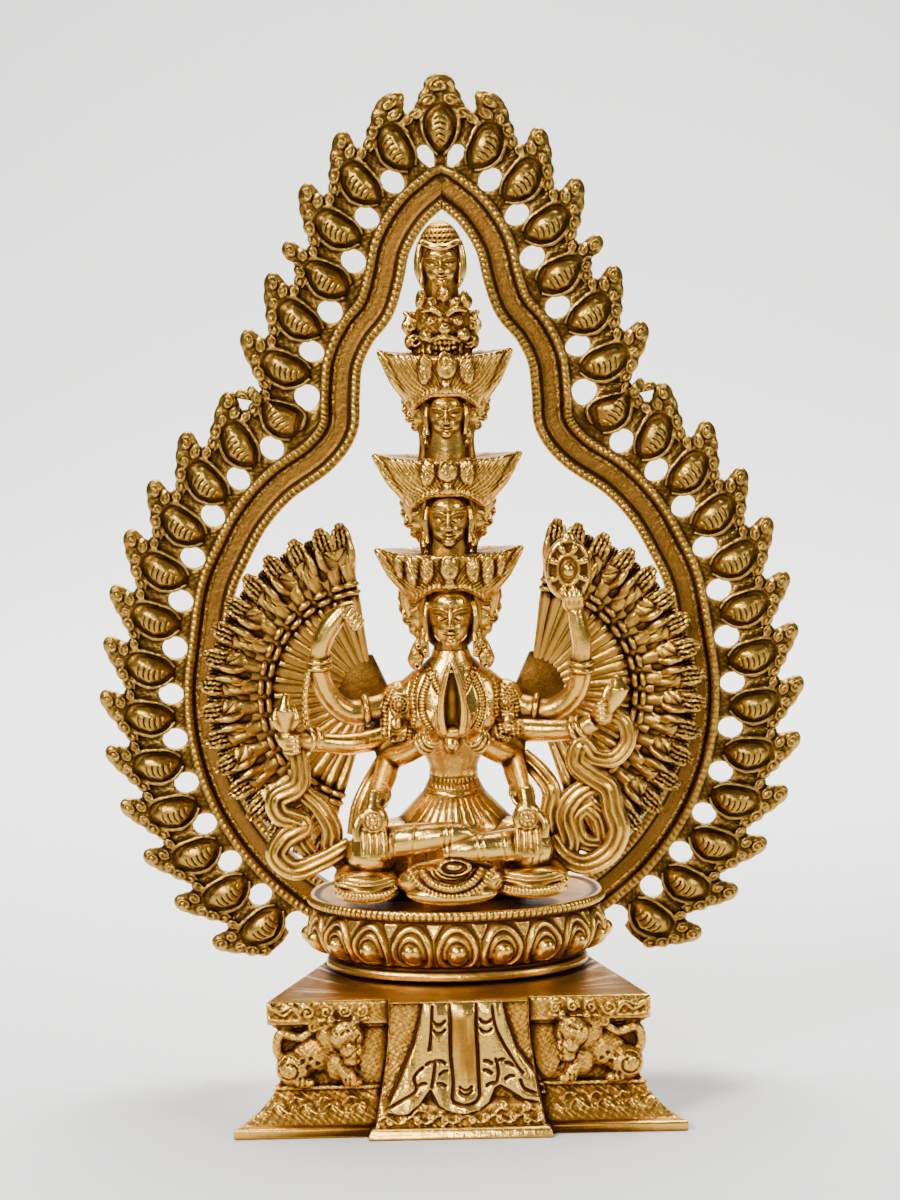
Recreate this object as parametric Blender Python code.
# Brass statue of a many-armed seated deity with five stacked heads, hands joined in
# prayer, two fans of small arms, a pierced flame aureole and a lion throne.
# Metres, +Z up, the front looks along -Y. The origin is the middle of the throne's
# underside, below the figure's axis.

import math

import bmesh
import bpy
from mathutils import Matrix, Vector
from mathutils.geometry import interpolate_bezier

for old in list(bpy.data.objects):
    bpy.data.objects.remove(old, do_unlink=True)

# Clearance between castings that touch
gap = 0.0003

# Throne: a tapered block with two lion wings and a draped middle block
throne_height = 0.0395
throne_wing_width = 0.113
throne_foot_width = 0.1334
throne_front = -0.041
throne_back = 0.033
throne_side_taper = math.radians(18)
throne_slab = 0.0032
throne_plinth_height = 0.0125
throne_cornice_height = 0.0085
throne_cornice_overhang = 0.0035
drape_top_width = 0.0412
drape_foot_width = 0.0546
drape_top_front = -0.045
drape_foot_front = -0.052
throne_foot_reach = 0.007
plinth_scroll_step = 0.0035
plinth_scroll_rise = 0.0004
drape_block_depth = 0.012
drape_fold_depth = 0.006
drape_fold_relief = 0.0012
drape_fold_top_gap = 0.001
wing_recess_near = 0.0006
wing_recess_far = 0.0075
lion_voxel = 0.0006
lion_triangles = 160

# Lotus seat
seat_height = 0.0227
seat_top_width = 0.091
seat_foot_width = 0.0772
seat_depth_share = 0.65
seat_back = 0.0215
seat_petals = 20
seat_petal_relief = 0.0019

# Seated figure, from the top of the seat to the top of the last head
figure_height = 0.2021
figure_voxel = 0.0009
figure_triangles = 2500

# Fans of small arms behind the shoulders
fan_reach_side = 0.0545
fan_reach_height = 0.0555
fan_thickness = 0.0032
fan_hub_side = 0.0240
fan_hub_height = 0.1215
fan_hub_front = 0.0125
fan_rim_front = 0.0075
fan_arms = 15
fan_rib = 0.0011
fan_lug_inner = 0.0105
fan_lug_reach = 0.012
fan_lug_below = 0.0065
fan_lug_above = 0.0075
fan_lug_slope = 0.003
fan_start = math.radians(97)
fan_sweep = math.radians(155)

# Aureole: a beaded channel band with a ring of flame petals
aureole_front = 0.0240
aureole_thickness = 0.0062
aureole_ring_radius = 0.0768
aureole_band_width = 0.0124
aureole_rim_bevel = 0.0007
aureole_foot_sink = 0.0048
aureole_rim_width = 0.0026
aureole_channel_depth = 0.0022
aureole_petal_thickness = 0.0042
aureole_petal_setback = 0.0012
aureole_petals_each_side = 19
aureole_petal_offset = 0.0168
aureole_petal_reach = 0.0158
aureole_last_petal = math.radians(-55)
aureole_lean_share = 0.26
aureole_notch_reach = 0.0056
aureole_notch_lean_share = 0.3
aureole_petal_middle = 0.5
almond_length = 0.0122
almond_width = 0.0070
almond_rise = 0.0008
aureole_hole_diameter = 0.0076

seat_bottom_z = throne_height + gap
seat_top_z = seat_bottom_z + seat_height

# The ring's lowest stretch is sunk to a flat foot that stands on the throne
aureole_foot_z = throne_height + gap + aureole_band_width / 2
aureole_ring_centre = aureole_foot_z + aureole_ring_radius - aureole_foot_sink


def cast_brass(name, color, roughness):
    material = bpy.data.materials.new(name)
    material.use_nodes = True
    shader = material.node_tree.nodes["Principled BSDF"]
    shader.inputs["Base Color"].default_value = (*color, 1.0)
    shader.inputs["Metallic"].default_value = 1.0
    shader.inputs["Roughness"].default_value = roughness
    material.diffuse_color = (*color, 1.0)
    return material


def make_object(name, bm, material):
    bmesh.ops.recalc_face_normals(bm, faces=bm.faces)
    mesh = bpy.data.meshes.new(name)
    bm.to_mesh(mesh)
    bm.free()
    mesh.materials.append(material)
    obj = bpy.data.objects.new(name, mesh)
    bpy.context.collection.objects.link(obj)
    return obj


def make_guide(obj):
    obj.hide_render = True
    obj.display_type = "WIRE"
    return obj


def add_boolean(target, operand, operation):
    modifier = target.modifiers.new(operand.name, "BOOLEAN")
    modifier.operation = operation
    modifier.solver = "EXACT"
    modifier.use_self = operation == "UNION"
    modifier.object = make_guide(operand)


# Smooth curve through the points: each stretch is a cubic whose handles follow the
# neighbours on both sides
def smooth_path(points, steps):
    points = [Vector(point) for point in points]
    path = []
    for index in range(len(points) - 1):
        before = points[max(index - 1, 0)]
        start, end = points[index], points[index + 1]
        after = points[min(index + 2, len(points) - 1)]
        stretch = interpolate_bezier(start, start + (end - before) / 6,
                                     end - (after - start) / 6, end, steps + 1)
        path += stretch[:-1]
    return path + [points[-1]]


# Join loops of equal count into a closed skin with flat ends
def bridge_rings(bm, rings):
    loops = [[bm.verts.new(point) for point in ring] for ring in rings]
    count = len(loops[0])
    for lower, upper in zip(loops, loops[1:]):
        for index in range(count):
            after = (index + 1) % count
            bm.faces.new((lower[index], lower[after], upper[after], upper[index]))
    bm.faces.new(list(reversed(loops[0])))
    bm.faces.new(loops[-1])


# Tapered tube along the points; flatten squashes its section along the sheet's depth
def add_tube(bm, points, radii, sides=8, flatten=1.0):
    points = [Vector(point) for point in points]
    rings = []
    for index, point in enumerate(points):
        ahead = points[min(index + 1, len(points) - 1)]
        behind = points[max(index - 1, 0)]
        along = (ahead - behind).normalized()
        depth = Vector((0, 1, 0))
        if abs(along.y) > 0.9:
            depth = Vector((0, 0, 1))
        across = along.cross(depth).normalized()
        depth = across.cross(along).normalized()
        ring = []
        for side in range(sides):
            angle = math.tau * side / sides
            offset = across * math.cos(angle) + depth * (math.sin(angle) * flatten)
            ring.append(point + offset * radii[index])
        rings.append(ring)
    bridge_rings(bm, rings)


def add_ball(bm, centre, radii, turn=0.0, detail=2):
    place = (Matrix.Translation(centre) @ Matrix.Rotation(turn, 4, "Y")
             @ Matrix.Diagonal((*radii, 1.0)))
    bmesh.ops.create_icosphere(bm, subdivisions=detail, radius=1.0, matrix=place)


# Stack of ellipses: each level is (half width, half depth, height), about one centre
def add_stack(bm, centre, levels, sides=20):
    rings = []
    for half_width, half_depth, height in levels:
        rings.append([
            Vector((centre.x + half_width * math.cos(math.tau * side / sides),
                    centre.y + half_depth * math.sin(math.tau * side / sides), height))
            for side in range(sides)])
    bridge_rings(bm, rings)


# Flat outline in X and Z, given depth from front to back
def add_plate(bm, outline, front, back):
    rings = [[Vector((x, y, z)) for x, z in outline] for y in (front, back)]
    bridge_rings(bm, rings)


# Throne

# Level slice of the throne, which narrows towards its back
def throne_slice(half_width, front, z):
    back_half = half_width - (throne_back - front) * math.tan(throne_side_taper)
    return [Vector((-half_width, front, z)), Vector((half_width, front, z)),
            Vector((back_half, throne_back, z)), Vector((-back_half, throne_back, z))]


def build_throne(material):
    half_top = throne_wing_width / 2
    half_foot = throne_foot_width / 2
    waist = half_top - throne_cornice_overhang
    waist_front = throne_front + throne_cornice_overhang
    foot_front = throne_front - throne_foot_reach
    shoulder = throne_height - throne_cornice_height
    bm = bmesh.new()
    levels = [
        (half_foot, foot_front, 0.0),
        (half_foot, foot_front, throne_slab),
        (half_foot - plinth_scroll_step, foot_front + 0.0025,
         throne_slab + plinth_scroll_rise),
        (waist + 0.001, waist_front - 0.001, throne_plinth_height),
        (waist, waist_front, throne_plinth_height + 0.0015),
        (waist, waist_front, shoulder),
        (half_top, throne_front, shoulder + 0.0022),
        (half_top, throne_front, throne_height),
    ]
    bridge_rings(bm, [throne_slice(*level) for level in levels])
    throne = make_object("lion_throne", bm, material)
    add_boolean(throne, make_drape_block(material), "UNION")
    for side in (-1, 1):
        add_boolean(throne, make_wing_recess(side, material), "DIFFERENCE")
        add_boolean(throne, make_lion(side, material), "UNION")
    add_boolean(throne, make_drape(material), "UNION")
    return throne


# Middle block, wider and further forward at its foot
def make_drape_block(material):
    bm = bmesh.new()
    rings = []
    for share in (0.0, 0.08, 0.5, 1.0):
        flare = (1 - share) ** 2
        half = (drape_top_width + (drape_foot_width - drape_top_width) * flare) / 2
        front = drape_top_front + (drape_foot_front - drape_top_front) * flare
        z = throne_height * share
        rings.append([Vector((-half, front, z)), Vector((half, front, z)),
                      Vector((half, throne_front + drape_block_depth, z)),
                      Vector((-half, throne_front + drape_block_depth, z))])
    bridge_rings(bm, rings)
    return make_object("drape_block_form", bm, material)


# Folded cloth over the middle block: a centre panel with folds spreading at each side
def make_drape(material):
    bm = bmesh.new()
    top = throne_height
    folds_top = top - drape_fold_top_gap
    slope = (drape_foot_front - drape_top_front) / throne_height
    folds = [(0.0, 0.0, 0.0045, 0.0088), (0.0098, 0.0135, 0.0022, 0.0105),
             (0.0148, 0.0225, 0.0017, 0.0145)]
    for top_x, foot_x, half, foot_z in folds:
        for side in ((1,) if top_x == 0.0 else (-1, 1)):
            rings = []
            for share in (0.0, 0.35, 0.7, 1.0):
                z = folds_top - (folds_top - foot_z) * share
                x = side * (top_x + (foot_x - top_x) * share ** 2)
                front = drape_top_front + slope * (top - z) * (1 - z / top) - drape_fold_relief
                spread = half * (1 + 0.45 * share)
                rings.append([Vector((x - spread, front, z)),
                              Vector((x + spread, front, z)),
                              Vector((x + spread, front + drape_fold_depth, z)),
                              Vector((x - spread, front + drape_fold_depth, z))])
            bridge_rings(bm, rings)
    return make_object("drape_form", bm, material)


# Recess between the middle block and the lion
def make_wing_recess(side, material):
    near = side * (drape_foot_width / 2 + wing_recess_near)
    far = side * (drape_foot_width / 2 + wing_recess_far)
    foot_z = throne_plinth_height + 0.002
    head_z = throne_height - throne_cornice_height - 0.0005
    bm = bmesh.new()
    add_plate(bm, [(near, foot_z), (far, foot_z), (far, head_z), (near, head_z)],
              throne_front - 0.004, throne_front + throne_cornice_overhang + 0.0035)
    return make_object(f"wing_recess_form_{side}", bm, material)


# Seated lion in relief on the wing, its head near the middle block
def make_lion(side, material):
    front = throne_front + throne_cornice_overhang
    base_z = throne_plinth_height
    bm = bmesh.new()
    shapes = [
        ((0.0385, front - 0.0012, base_z + 0.0140), (0.0062, 0.0042, 0.0062)),
        ((0.0370, front - 0.0048, base_z + 0.0125), (0.0030, 0.0025, 0.0026)),
        ((0.0440, front + 0.0002, base_z + 0.0085), (0.0075, 0.0032, 0.0055)),
        ((0.0490, front + 0.0001, base_z + 0.0055), (0.0048, 0.0036, 0.0058)),
        ((0.0372, front - 0.0008, base_z + 0.0045), (0.0024, 0.0028, 0.0056)),
        ((0.0500, front + 0.0004, base_z + 0.0155), (0.0024, 0.0020, 0.0042)),
    ]
    for centre, radii in shapes:
        add_ball(bm, Vector((side * centre[0], centre[1], centre[2])), radii)
    lion = make_object(f"lion_form_{side}", bm, material)
    fuse(lion, lion_voxel, lion_triangles)
    return lion


# Melt overlapping closed shapes into one skin, then thin it to about that many
# triangles
def fuse(obj, voxel, triangles):
    remesh = obj.modifiers.new("fuse", "REMESH")
    remesh.mode = "VOXEL"
    remesh.voxel_size = voxel
    bpy.context.view_layer.update()
    graph = bpy.context.evaluated_depsgraph_get()
    fused = obj.evaluated_get(graph).to_mesh()
    quads = len(fused.polygons)
    obj.evaluated_get(graph).to_mesh_clear()
    thin = obj.modifiers.new("thin", "DECIMATE")
    thin.ratio = min(1.0, triangles / (2 * quads))


# Lotus seat

# Turned section with upright petals: (radius share of the top, height share, relief)
seat_section = [
    (0.00, 0.00, 0.0), (0.97, 0.00, 0.0), (1.00, 0.07, 0.0), (0.965, 0.16, 0.0),
    (1.000, 0.24, 0.8), (1.045, 0.42, 1.0), (1.030, 0.60, 0.6), (0.985, 0.70, 0.0),
    (1.050, 0.82, 0.0), (1.000, 0.90, 0.0), (1.000, 1.00, 0.0), (0.00, 1.00, 0.0)]


def seat_radius(share, height_share):
    foot, top = seat_foot_width / 2, seat_top_width / 2
    if height_share > 0.85:
        return top * share
    return (foot + (top - foot) * height_share * 0.75) * share


def seat_point(angle, radius, z):
    x = radius * math.cos(angle)
    y = radius * math.sin(angle) * seat_depth_share
    if y > 0:
        y = seat_back * math.tanh(y / seat_back * 1.25) / math.tanh(1.25)
    return Vector((x, min(y, seat_back), z))


def build_seat(material):
    bm = bmesh.new()
    steps = seat_petals * 3
    rings = []
    for share, height, relief in seat_section[1:-1]:
        ring = []
        for step in range(steps):
            angle = math.tau * step / steps - math.pi / 2
            swell = relief * seat_petal_relief * (math.cos(seat_petals * angle
                                                  + math.pi / 2 * seat_petals) - 0.3)
            radius = seat_radius(share, height) + swell
            ring.append(seat_point(angle, radius, seat_bottom_z + seat_height * height))
        rings.append(ring)
    bridge_rings(bm, rings)
    return make_object("seated_figure", bm, material)


# Seated figure: all heights below are drawn in millimetres above the throne's
# underside with the seat's top at 62.5, and follow the figure's height
drawn_seat = 62.5
drawn_height = 202.1


def at(x, y, z):
    size = figure_height / drawn_height
    return Vector((x * size, y * size, seat_top_z + (z - drawn_seat) * size))


def length(value):
    return value * figure_height / drawn_height


def limb(bm, points, radii, steps=3, sides=10, flatten=1.0):
    path = smooth_path([at(*point) for point in points], steps)
    last = len(path) - 1
    widths = []
    for index in range(len(path)):
        place = index / last * (len(radii) - 1)
        lower = min(int(place), len(radii) - 2)
        widths.append(length(radii[lower] + (radii[lower + 1] - radii[lower])
                             * (place - lower)))
    add_tube(bm, path, widths, sides, flatten)


def ball(bm, centre, radii, turn=0.0):
    add_ball(bm, at(*centre), [length(radius) for radius in radii], turn)


def mirrored(points):
    return [(-x, y, z) for x, y, z in points]


def add_body(bm):
    add_stack(bm, at(0, -1, 0), [
        (length(21.0), length(12.5), at(0, 0, 61.0).z),
        (length(21.5), length(12.5), at(0, 0, 76.0).z),
        (length(18.5), length(12.5), at(0, 0, 86.0).z),
        (length(9.5), length(8.0), at(0, 0, 93.5).z),
        (length(7.4), length(6.2), at(0, 0, 99.0).z),
        (length(11.5), length(8.0), at(0, 0, 108.0).z),
        (length(15.5), length(9.5), at(0, 0, 116.0).z),
        (length(17.5), length(8.5), at(0, 0, 122.5).z),
        (length(8.0), length(6.5), at(0, 0, 128.5).z),
        (length(5.4), length(5.4), at(0, 0, 132.0).z),
        (length(5.2), length(5.2), at(0, 0, 142.0).z)])
    for side in (-1, 1):
        ball(bm, (side * 18.5, 0, 121.0), (6.2, 6.0, 5.6))
        limb(bm, [(side * 11, 2, 76), (side * 24, -8, 76), (side * 29, -18, 76.5)],
             (13.5, 11.5, 9.0))
        ball(bm, (side * 26.5, -16, 74.5), (10.0, 12.5, 9.0))
        limb(bm, [(side * 27, -18, 79.5), (side * 15, -26, 82), (side * 2, -29, 83.5)],
             (6.0, 5.4, 4.6))
    ball(bm, (0, -28, 70), (14.0, 7.5, 8.5))
    ball(bm, (-23, -27, 68.5), (9.5, 6.0, 5.5))
    ball(bm, (25, -27, 68.5), (9.5, 6.0, 5.5))


# A tier of heads: a front face with one at each side, on a neck
def add_head(bm, chin_z, brow_z, half_width, side_reach, depth):
    middle = (chin_z + brow_z) / 2
    half_height = (brow_z - chin_z) / 2
    ball(bm, (0, -depth * 0.55, middle + 1), (half_width, depth, half_height * 1.25))
    for side in (-1, 1):
        ball(bm, (side * (side_reach - half_width * 0.62), -depth * 0.15, middle),
             (half_width * 0.72, depth * 0.78, half_height * 1.02))


# Flared leaf crown, its two ends lifted into points
def add_crown(bm, foot_z, rim_z, foot_half, rim_half, depth):
    rise = rim_z - foot_z
    add_stack(bm, at(0, -depth * 0.18, 0), [
        (length(foot_half * 0.92), length(depth * 0.86), at(0, 0, foot_z).z),
        (length(foot_half), length(depth * 0.92), at(0, 0, foot_z + rise * 0.35).z),
        (length(foot_half * 1.28), length(depth), at(0, 0, foot_z + rise * 0.62).z),
        (length(rim_half * 0.86), length(depth * 1.08), at(0, 0, rim_z - 0.6).z),
        (length(rim_half * 0.80), length(depth * 0.95), at(0, 0, rim_z + 0.4).z)], 24)
    for side in (-1, 1):
        limb(bm, [(side * rim_half * 0.6, -2, rim_z - 1.6),
                  (side * rim_half * 0.85, -2, rim_z - 1.0),
                  (side * (rim_half + 0.4), -2, rim_z + 1.3)], (2.6, 2.1, 0.8))


def add_heads(bm):
    add_head(bm, 138.8, 157.5, 7.9, 14.2, 9.0)
    add_crown(bm, 157.0, 166.8, 12.5, 22.0, 11.5)
    limb(bm, [(0, -1, 164), (0, -1, 173)], (8.4, 7.6))
    add_head(bm, 171.0, 185.5, 6.8, 13.4, 8.0)
    add_crown(bm, 185.3, 195.4, 11.5, 22.0, 10.5)
    limb(bm, [(0, -1, 193), (0, -1, 204)], (7.6, 6.6))
    add_head(bm, 202.2, 214.8, 5.6, 11.2, 7.2)
    add_crown(bm, 214.6, 225.6, 9.8, 19.8, 9.5)
    ball(bm, (0, -1, 229), (10.6, 8.2, 6.5))
    ball(bm, (0, -3, 236.5), (9.4, 8.0, 8.0))
    for x in (-6.5, 0, 6.5):
        ball(bm, (x, -5, 242.0), (2.9, 2.9, 2.7))
    ball(bm, (0, -2, 254.0), (7.2, 7.0, 10.7))
    for side in (-1, 1):
        ball(bm, (side * 10, -3, 136.5), (2.2, 2.0, 6.0))
        ball(bm, (side * 9.5, -3, 234.5), (2.8, 4.0, 4.0))


def add_front_arms(bm):
    for side in (-1, 1):
        limb(bm, [(side * 19, -1, 120), (side * 21.5, -4, 112), (side * 20.5, -10, 105.5),
                  (side * 13.5, -18, 109.5), (side * 6.2, -26, 115)],
             (5.0, 4.2, 4.0, 3.3, 2.6))
        limb(bm, [(side * 20, -3, 113), (side * 20.5, -12, 103), (side * 22, -20, 95.5),
                  (side * 23.5, -26, 89)], (4.0, 3.8, 3.2, 2.7))
        ball(bm, (side * 23.8, -28.5, 85.0), (4.4, 2.6, 5.0))
        limb(bm, [(side * 24.0, -29, 84), (side * 24.2, -30, 76.5)], (3.9, 3.2),
             flatten=0.5)
        ball(bm, (side * 27.6, -29, 84.0), (1.5, 1.6, 3.6))
        limb(bm, [(side * 3.2, -27, 116), (side * 3.9, -30, 124), (side * 2.2, -31, 132),
                  (side * 0.6, -30.5, 139.2)], (2.6, 2.6, 2.0, 1.0))
    ball(bm, (0, -8.5, 110.5), (2.6, 3.0, 2.8))


def add_raised_arms(bm):
    limb(bm, [(-17, 0, 121.5), (-27, -3, 121), (-34.5, -7, 127.5), (-40.5, -9, 135),
              (-37, -9.5, 142.5), (-30, -9.5, 150)], (4.4, 4.0, 3.7, 3.4, 3.4, 2.2))
    limb(bm, [(17, 0, 120.5), (28, -3, 119), (34.5, -7, 125.5), (39, -8.5, 131.5),
              (39.2, -9.5, 140), (38, -10, 150)], (4.4, 4.0, 3.7, 3.3, 3.2, 2.6))
    ball(bm, (35.2, -10.5, 160), (7.6, 1.9, 11.6))
    ball(bm, (-42.0, -9, 128), (2.2, 2.0, 9.0), 0.1)
    limb(bm, [(-14, -3, 112.5), (-30, -10, 112.4), (-40, -15, 112.6),
              (-49, -17, 112.6)], (3.9, 3.4, 3.2, 3.5))
    limb(bm, [(-48.8, -17, 113), (-49.6, -17, 121), (-49.2, -17, 127.2)],
         (3.2, 3.4, 0.9))
    limb(bm, [(14, -3, 112.6), (28, -10, 112.8), (36, -14, 113.4), (40, -16, 115.4),
              (46.5, -17, 122), (48.6, -17, 130)], (3.9, 3.4, 3.3, 3.4, 3.6, 0.9))


def add_scarves(bm):
    ribbon = 2.9
    limb(bm, [(-46.5, -17, 112), (-45.6, -17, 104), (-46.5, -17, 98.5), (-53, -17, 94.5),
              (-50.8, -17, 89.5), (-44.5, -17, 86.5), (-51.5, -17, 82.0),
              (-52.8, -17, 77.0), (-47, -17, 73.0), (-38.5, -17, 76.5),
              (-31, -17, 82)], (2.4, ribbon, ribbon, ribbon, ribbon, 2.2), 3, 8, 0.65)
    limb(bm, [(-44.8, -17, 96.5), (-38.8, -17, 90), (-37.2, -17, 83), (-34, -17, 78)],
         (2.2, 2.6, 2.4), 3, 8, 0.65)
    limb(bm, [(46, -17, 120), (51.5, -17, 115.5), (50.5, -17, 107), (44, -17, 104.5),
              (38.5, -17, 108), (36.2, -17, 101.5), (43.5, -17, 98.5),
              (47.5, -17, 92.5), (48.6, -17, 84), (45.5, -17, 76.5), (38, -17, 73),
              (31, -17, 76.5), (27.5, -15, 82)], (2.2, 2.2, ribbon, ribbon, ribbon, 2.4),
         3, 8, 0.65)
    limb(bm, [(40, -17, 99), (33, -17, 91.5), (31.5, -17, 82), (33.5, -17, 76)],
         (2.6, 2.9, 2.4), 3, 8, 0.65)
    limb(bm, [(29, -16, 97), (28.0, -15, 90), (29.0, -14, 82)], (2.4, 2.6, 2.6), 3, 8)
    limb(bm, [(20, -10, 106), (26, -14, 101), (29, -16, 96)], (2.6, 2.4, 2.4), 3, 8)


def build_figure(material):
    bm = bmesh.new()
    add_body(bm)
    add_heads(bm)
    add_front_arms(bm)
    add_raised_arms(bm)
    add_scarves(bm)
    form = make_object("figure_form", bm, material)
    fuse(form, figure_voxel, figure_triangles)
    seat = build_seat(material)
    add_boolean(seat, form, "UNION")
    return seat


# Fans of small arms: dished plates with one lobe for each hand, and a lug at the hub

def fan_angle(share):
    return fan_start + fan_sweep * share


def fan_front(share):
    return fan_hub_front + (fan_rim_front - fan_hub_front) * share ** 1.5


def build_fan(side, name, material):
    bm = bmesh.new()
    steps_for_each = 3
    steps = fan_arms * steps_for_each
    shares = (0.12, 0.55, 0.84, 1.0)
    fronts, backs = [], []
    for step in range(steps + 1):
        angle = fan_angle(step / steps)
        lobe = 0.5 - 0.5 * math.cos(math.tau * step / steps_for_each)
        front_row, back_row = [], []
        for place, share in enumerate(shares):
            reach = share
            if place == len(shares) - 1:
                reach *= 0.90 + 0.10 * lobe
            rib = fan_rib * lobe * min(1.0, share * 1.4)
            x = side * (fan_hub_side - math.cos(angle) * reach * fan_reach_side)
            z = fan_hub_height + math.sin(angle) * reach * fan_reach_height
            y = fan_front(share)
            front_row.append(Vector((x, y - rib, z)))
            back_row.append(Vector((x, y + fan_thickness, z)))
        fronts.append(front_row)
        backs.append(back_row)
    rings = [front + list(reversed(back)) for front, back in zip(fronts, backs)]
    bridge_rings(bm, rings)
    fan = make_object(name, bm, material)
    add_boolean(fan, make_fan_lug(side, name, material), "UNION")
    return fan


# Lug that carries the fan at the back of the shoulder
def make_fan_lug(side, name, material):
    bm = bmesh.new()
    front = fan_hub_front - 0.0005
    inner = side * fan_lug_inner
    outer = side * (fan_hub_side + fan_lug_reach)
    low, high = fan_hub_height - fan_lug_below, fan_hub_height + fan_lug_above
    add_plate(bm, [(inner, low), (outer, low), (outer, high), (inner, high - fan_lug_slope)],
              front, fan_hub_front + fan_thickness + 0.0009)
    return make_object(f"{name}_lug_form", bm, material)


# Aureole

# Right half of the band's middle line, from the foot round the ring to the apex.
# The ring is an arc; above it the line is free, drawn in millimetres round a ring of
# this radius and centre height
drawn_ring_radius = 76.8
drawn_ring_centre = 118.0
aureole_free_points = [
    (72.0, 152.0), (66.8, 164.0), (60.5, 175.0), (51.5, 184.8), (39.5, 193.2),
    (33.2, 201.5), (32.4, 211.0), (31.2, 221.5), (27.0, 230.5), (21.2, 237.8),
    (18.2, 246.5), (15.6, 257.0), (9.2, 267.2), (0.0, 275.0)]


def aureole_line():
    points = []
    arc_steps = 12
    first, last = math.radians(-90), math.radians(12)
    for step in range(arc_steps + 1):
        angle = first + (last - first) * step / arc_steps
        z = aureole_ring_centre + aureole_ring_radius * math.sin(angle)
        points.append(Vector((aureole_ring_radius * math.cos(angle), 0,
                              max(z, aureole_foot_z))))
    scale = aureole_ring_radius / drawn_ring_radius
    free = [Vector((x * scale, 0, aureole_ring_centre + (z - drawn_ring_centre) * scale))
            for x, z in aureole_free_points]
    upper = smooth_path([points[-2], points[-1]] + free, 2)
    start = upper.index(points[-1]) if points[-1] in upper else 2
    return points[:-1] + upper[start:]


# Outward ways along the line; a wider reach rounds their turns
def line_normals(line, reach=1):
    normals = []
    for index in range(len(line)):
        ahead = line[min(index + reach, len(line) - 1)]
        behind = line[max(index - reach, 0)]
        along = (ahead - behind).normalized()
        normals.append(Vector((along.z, 0, -along.x)))
    normals[0] = Vector((0, 0, -1))
    normals[-1] = Vector((0, 0, 1))
    return normals


def closed_line():
    half = aureole_line()
    normals = line_normals(half)
    left = [Vector((-point.x, 0, point.z)) for point in reversed(half[1:-1])]
    left_normals = [Vector((-way.x, 0, way.z)) for way in reversed(normals[1:-1])]
    return half + left, normals + left_normals


def make_band(material):
    line, normals = closed_line()
    half = aureole_band_width / 2
    rim = aureole_rim_width
    front = aureole_front
    floor = front + aureole_channel_depth
    back = front + aureole_thickness
    bevel = front + aureole_rim_bevel
    section = [(-half, back), (-half, bevel), (-half + rim / 2, front),
               (-half + rim, floor), (half - rim, floor), (half - rim / 2, front),
               (half, bevel), (half, back)]
    bm = bmesh.new()
    loops = []
    for point, normal in zip(line, normals):
        loops.append([bm.verts.new(point + normal * offset + Vector((0, y, 0)))
                      for offset, y in section])
    for index, loop in enumerate(loops):
        after = loops[(index + 1) % len(loops)]
        for place in range(len(section)):
            other = (place + 1) % len(section)
            bm.faces.new((loop[place], loop[other], after[other], after[place]))
    return make_object("aureole", bm, material)


# Line of petal centres, from the apex to the last petal, as points, outward ways and
# the length run so far
def petal_line():
    line = aureole_line()
    normals = line_normals(line, 3)
    first = next(index for index, point in enumerate(line)
                 if math.atan2(point.z - aureole_ring_centre, point.x)
                 > aureole_last_petal)
    points = [point + normal * aureole_petal_offset
              for point, normal in zip(line, normals)][first - 1:][::-1]
    ways = normals[first - 1:][::-1]
    lengths = [0.0]
    for before, after in zip(points, points[1:]):
        lengths.append(lengths[-1] + (after - before).length)
    return points, ways, lengths


# Point at a number of petals from the apex, moved outward from the petal centres
def petal_point(line, place, outward):
    points, ways, lengths = line
    target = max(0.0, lengths[-1] * place / (aureole_petals_each_side + 0.5))
    index = sum(1 for run in lengths[1:-1] if run <= target)
    share = (target - lengths[index]) / (lengths[index + 1] - lengths[index])
    way = ways[index].lerp(ways[index + 1], share).normalized()
    point = points[index].lerp(points[index + 1], share) + way * outward
    if place <= 0:
        point.x = 0.0
    return point, way


# Edge of a petal: (share of the pitch towards the foot, share of reach outward). The
# petals lean up the aureole, except the one at the apex
petal_outline = [(-0.36, 0.46), (-0.26, 0.84), (-0.08, 1.0), (0.16, 0.92), (0.36, 0.56)]
apex_outline = [(0.0, 1.06), (0.17, 0.96), (0.37, 0.52)]


def petal_edge(line):
    edge = []
    for number in range(aureole_petals_each_side + 1):
        lean = 0.0 if number == 0 else aureole_lean_share
        for place, share in (petal_outline if number else apex_outline):
            place += number - lean * share
            edge.append(petal_point(line, place, aureole_petal_reach * share)[0])
        notch = number + aureole_petal_middle - lean * aureole_notch_lean_share
        edge.append(petal_point(line, notch, aureole_notch_reach)[0])
    edge[-1] = petal_point(line, aureole_petals_each_side + aureole_petal_middle, 0.0)[0]
    return edge


def make_petal_ring(material):
    line = petal_line()
    edge = petal_edge(line)
    root = -aureole_petal_offset + aureole_band_width / 8
    inner = [petal_point(line, number / 2, root)[0]
             for number in range(2 * aureole_petals_each_side + 2)]
    right = [(point.x, point.z) for point in edge]
    right += [(point.x, point.z) for point in reversed(inner)]
    left = [(-x, z) for x, z in reversed(right[1:-1])]
    bm = bmesh.new()
    front = aureole_front + aureole_petal_setback
    face = bm.faces.new([bm.verts.new((x, front, z)) for x, z in right + left])
    solid = bmesh.ops.extrude_face_region(bm, geom=[face])
    moved = [item for item in solid["geom"] if isinstance(item, bmesh.types.BMVert)]
    bmesh.ops.translate(bm, verts=moved, vec=(0, aureole_petal_thickness, 0))
    return make_object("petal_ring_form", bm, material)


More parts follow.
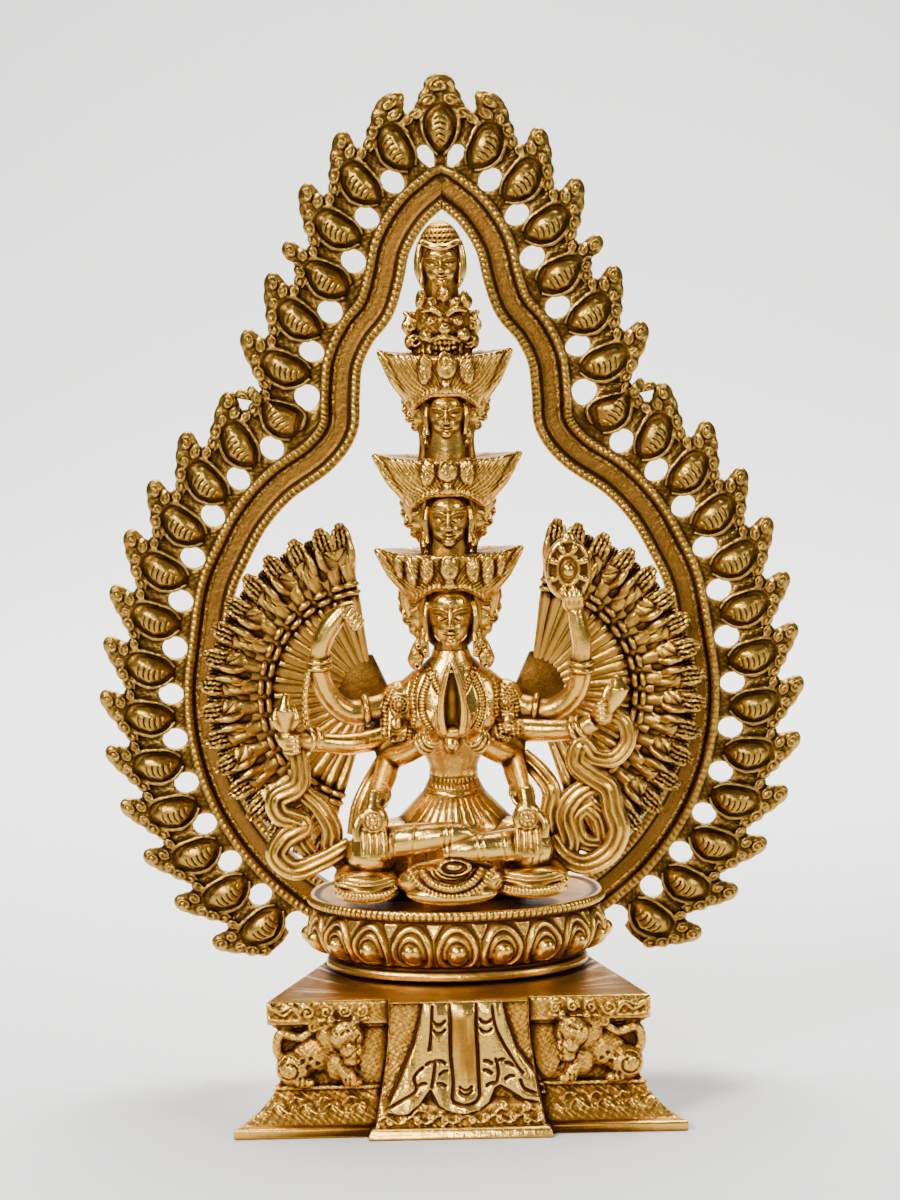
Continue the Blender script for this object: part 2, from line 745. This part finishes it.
def make_holes(material):
    bm = bmesh.new()
    line = petal_line()
    inset = aureole_petal_offset - (aureole_band_width + aureole_hole_diameter) / 2
    radius = aureole_hole_diameter / 2
    turn = Matrix.Rotation(math.pi / 2, 4, "X")
    for number in range(aureole_petals_each_side):
        middle = petal_point(line, number + 0.5, -inset)[0]
        for side in (-1, 1):
            depth = aureole_thickness
            place = Matrix.Translation((side * middle.x, aureole_front + depth / 2,
                                        middle.z)) @ turn
            bmesh.ops.create_cone(bm, cap_ends=True, segments=6, depth=depth * 2,
                                  radius1=radius, radius2=radius, matrix=place)
    return make_object("petal_holes_form", bm, material)


# Raised almond on each petal
def make_almonds(material):
    bm = bmesh.new()
    line = petal_line()
    base = aureole_front + aureole_petal_setback * 2
    crest = aureole_front - almond_rise
    for number in range(aureole_petals_each_side + 1):
        centre, way = petal_point(line, number, 0.0)
        for side in ((1,) if number == 0 else (-1, 1)):
            middle = Vector((side * centre.x, 0, centre.z))
            out = Vector((side * way.x, 0, way.z))
            across = Vector((-out.z, 0, out.x))
            ring = [middle - out * almond_length / 2, middle + across * almond_width / 2,
                    middle + out * almond_length / 2, middle - across * almond_width / 2]
            low = [point + Vector((0, base, 0)) for point in ring]
            top = [middle.lerp(point, 0.5) + Vector((0, crest, 0)) for point in ring]
            bridge_rings(bm, [low, top])
    return make_object("petal_almonds_form", bm, material)


def build_aureole(material):
    band = make_band(material)
    add_boolean(band, make_petal_ring(material), "UNION")
    add_boolean(band, make_holes(material), "DIFFERENCE")
    add_boolean(band, make_almonds(material), "UNION")
    return band


throne_brass = cast_brass("throne brass", (0.45, 0.27, 0.09), 0.38)
figure_brass = cast_brass("figure brass", (0.62, 0.40, 0.14), 0.30)
fan_brass = cast_brass("fan brass", (0.55, 0.34, 0.11), 0.34)
aureole_brass = cast_brass("aureole brass", (0.50, 0.30, 0.10), 0.36)

build_throne(throne_brass)
build_figure(figure_brass)
build_fan(-1, "arm_fan_left", fan_brass)
build_fan(1, "arm_fan_right", fan_brass)
build_aureole(aureole_brass)
